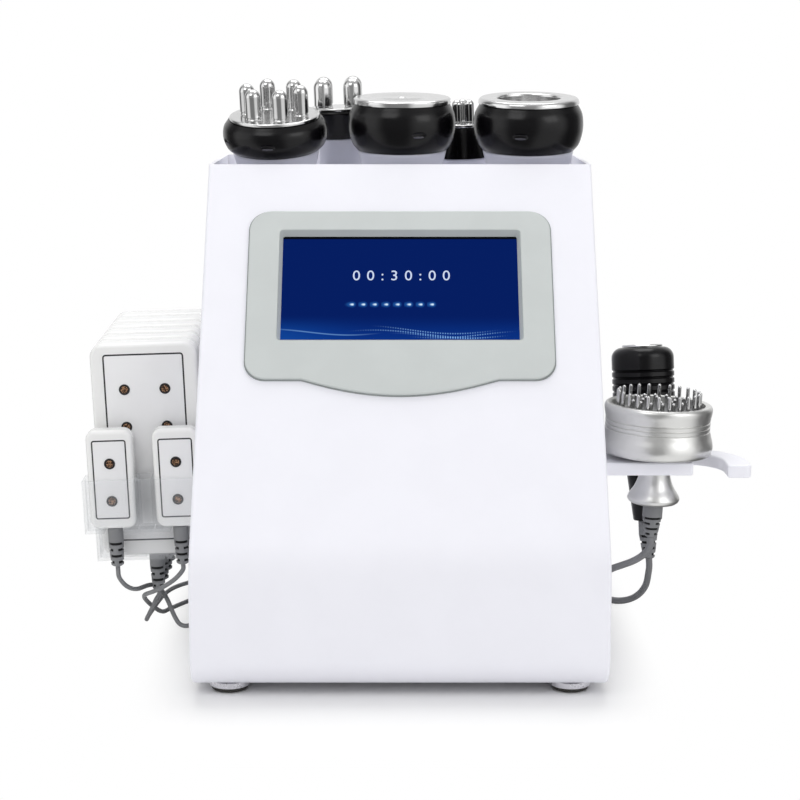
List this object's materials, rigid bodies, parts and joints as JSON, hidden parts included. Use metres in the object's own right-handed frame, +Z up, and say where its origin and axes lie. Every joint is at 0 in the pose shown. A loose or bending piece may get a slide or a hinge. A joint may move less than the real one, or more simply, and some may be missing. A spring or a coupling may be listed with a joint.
{
  "type": "cavitation slimming machine",
  "caption": "Desktop cabinet with a sloping screen, treatment probes standing in its top, a clear rack of light pads on one side and a hooked rack with two corded probes on the other.",
  "frame": {"origin": "on the floor under the middle of the machine's width and depth, free cords left out", "axes": "+Z up from the feet, the screen faces -Y, +X to the right as seen from the front, towards the two-seat probe rack"},
  "size_m": [0.4825, 0.4107, 0.4084],
  "materials": {
    "shell": "satin, cool white",
    "bezel": "satin",
    "display": "glossy",
    "board": "satin",
    "supply": "plain",
    "pump": "painted",
    "black_plastic": "satin",
    "foot": "polished",
    "grip": "satin",
    "polished_metal": "polished",
    "satin_metal": "brushed",
    "cord": "matte",
    "acrylic": "clear, glossy",
    "pad": "glossy"
  },
  "bodies": {
    "cabinet": {"front_panel": "shell", "side_panel_left": "shell", "side_panel_right": "shell", "base_plate": "shell", "top_deck": "shell", "rear_panel": "shell", "side_rack": "shell", "screen_bezel": "bezel", "lcd_module": "display", "control_board": "board", "power_supply": "supply", "vacuum_pump": "pump", "fan_frame": "black_plastic", "power_inlet": "black_plastic", "foot_front_left": "foot", "foot_front_right": "foot", "foot_rear_left": "foot", "foot_rear_right": "foot", "pad_holder": "acrylic", "small_pad_left_cord": "cord", "small_pad_left_coil": "cord", "large_pad_1_cord": "cord", "large_pad_1_coil": "cord", "small_pad_right_cord": "cord", "small_pad_right_coil": "cord", "pin_probe_cord": "cord", "pin_probe_coil": "cord", "rod_probe_cord": "cord", "rod_probe_coil": "cord"},
    "six_pole_probe": {"six_pole_probe_grip": "grip", "six_pole_probe_head": "black_plastic", "six_pole_probe_face": "polished_metal"},
    "cavitation_probe": {"cavitation_probe_grip": "grip", "cavitation_probe_head": "black_plastic", "cavitation_probe_face": "polished_metal"},
    "vacuum_probe": {"vacuum_probe_grip": "grip", "vacuum_probe_head": "black_plastic", "vacuum_probe_face": "polished_metal"},
    "four_pole_probe": {"four_pole_probe_grip": "grip", "four_pole_probe_head": "black_plastic", "four_pole_probe_face": "polished_metal"},
    "three_pole_probe": {"three_pole_probe_grip": "grip", "three_pole_probe_head": "black_plastic", "three_pole_probe_face": "polished_metal"},
    "pin_probe": {"pin_probe_body": "satin_metal", "pin_probe_pins": "polished_metal", "pin_probe_boot": "cord"},
    "rod_probe": {"rod_probe_body": "black_plastic", "rod_probe_plate": "polished_metal", "rod_probe_boot": "cord"},
    "large_pad_1_body": {"large_pad_1": "pad"},
    "large_pad_2_body": {"large_pad_2": "pad"},
    "large_pad_3_body": {"large_pad_3": "pad"},
    "large_pad_4_body": {"large_pad_4": "pad"},
    "large_pad_5_body": {"large_pad_5": "pad"},
    "large_pad_6_body": {"large_pad_6": "pad"},
    "small_pad_left_body": {"small_pad_left": "pad"},
    "small_pad_right_body": {"small_pad_right": "pad"},
    "rocker": {"power_rocker": "black_plastic"},
    "rotor": {"fan_rotor": "black_plastic"}
  },
  "joints": [
    {"name": "six_pole_probe_lift", "type": "slide", "parent": "cabinet", "child": "six_pole_probe", "axis": [-0.03, -0.1986, 0.9796], "range_m": [0, 0.14]},
    {"name": "cavitation_probe_lift", "type": "slide", "parent": "cabinet", "child": "cavitation_probe", "axis": [0, -0.0799, 0.9968], "range_m": [0, 0.14]},
    {"name": "vacuum_probe_lift", "type": "slide", "parent": "cabinet", "child": "vacuum_probe", "axis": [0, -0.0998, 0.995], "range_m": [0, 0.14]},
    {"name": "four_pole_probe_lift", "type": "slide", "parent": "cabinet", "child": "four_pole_probe", "axis": [-0.035, -0.0499, 0.9981], "range_m": [0, 0.125]},
    {"name": "three_pole_probe_lift", "type": "slide", "parent": "cabinet", "child": "three_pole_probe", "axis": [-0.035, -0.0499, 0.9981], "range_m": [0, 0.125]},
    {"name": "pin_probe_slide", "type": "slide", "parent": "cabinet", "child": "pin_probe", "axis": [1, 0, 0], "range_m": [0, 0.022]},
    {"name": "rod_probe_lift", "type": "slide", "parent": "cabinet", "child": "rod_probe", "axis": [-0.036, 0.1395, 0.9896], "range_m": [0, 0.115]},
    {"name": "large_pad_1_lift", "type": "slide", "parent": "cabinet", "child": "large_pad_1_body", "axis": [-0.033, -0.047, 0.9984], "range_m": [0, 0.06]},
    {"name": "large_pad_2_lift", "type": "slide", "parent": "cabinet", "child": "large_pad_2_body", "axis": [-0.033, -0.047, 0.9984], "range_m": [0, 0.06]},
    {"name": "large_pad_3_lift", "type": "slide", "parent": "cabinet", "child": "large_pad_3_body", "axis": [-0.033, -0.047, 0.9984], "range_m": [0, 0.06]},
    {"name": "large_pad_4_lift", "type": "slide", "parent": "cabinet", "child": "large_pad_4_body", "axis": [-0.033, -0.047, 0.9984], "range_m": [0, 0.06]},
    {"name": "large_pad_5_lift", "type": "slide", "parent": "cabinet", "child": "large_pad_5_body", "axis": [-0.033, -0.047, 0.9984], "range_m": [0, 0.06]},
    {"name": "large_pad_6_lift", "type": "slide", "parent": "cabinet", "child": "large_pad_6_body", "axis": [-0.033, -0.047, 0.9984], "range_m": [0, 0.06]},
    {"name": "small_pad_left_lift", "type": "slide", "parent": "cabinet", "child": "small_pad_left_body", "axis": [-0.033, -0.047, 0.9984], "range_m": [0, 0.07]},
    {"name": "small_pad_right_lift", "type": "slide", "parent": "cabinet", "child": "small_pad_right_body", "axis": [-0.033, -0.047, 0.9984], "range_m": [0, 0.07]},
    {"name": "power_rocker_tilt", "type": "hinge", "parent": "cabinet", "child": "rocker", "pos_m": [-0.05817, 0.161, 0.116], "axis": [-1, 0, 0], "range_deg": [0, 13.75]},
    {"name": "fan_spin", "type": "hinge", "parent": "cabinet", "child": "rotor", "pos_m": [0.04783, 0.1445, 0.122], "axis": [0, 1, 0], "continuous": true}
  ]
}
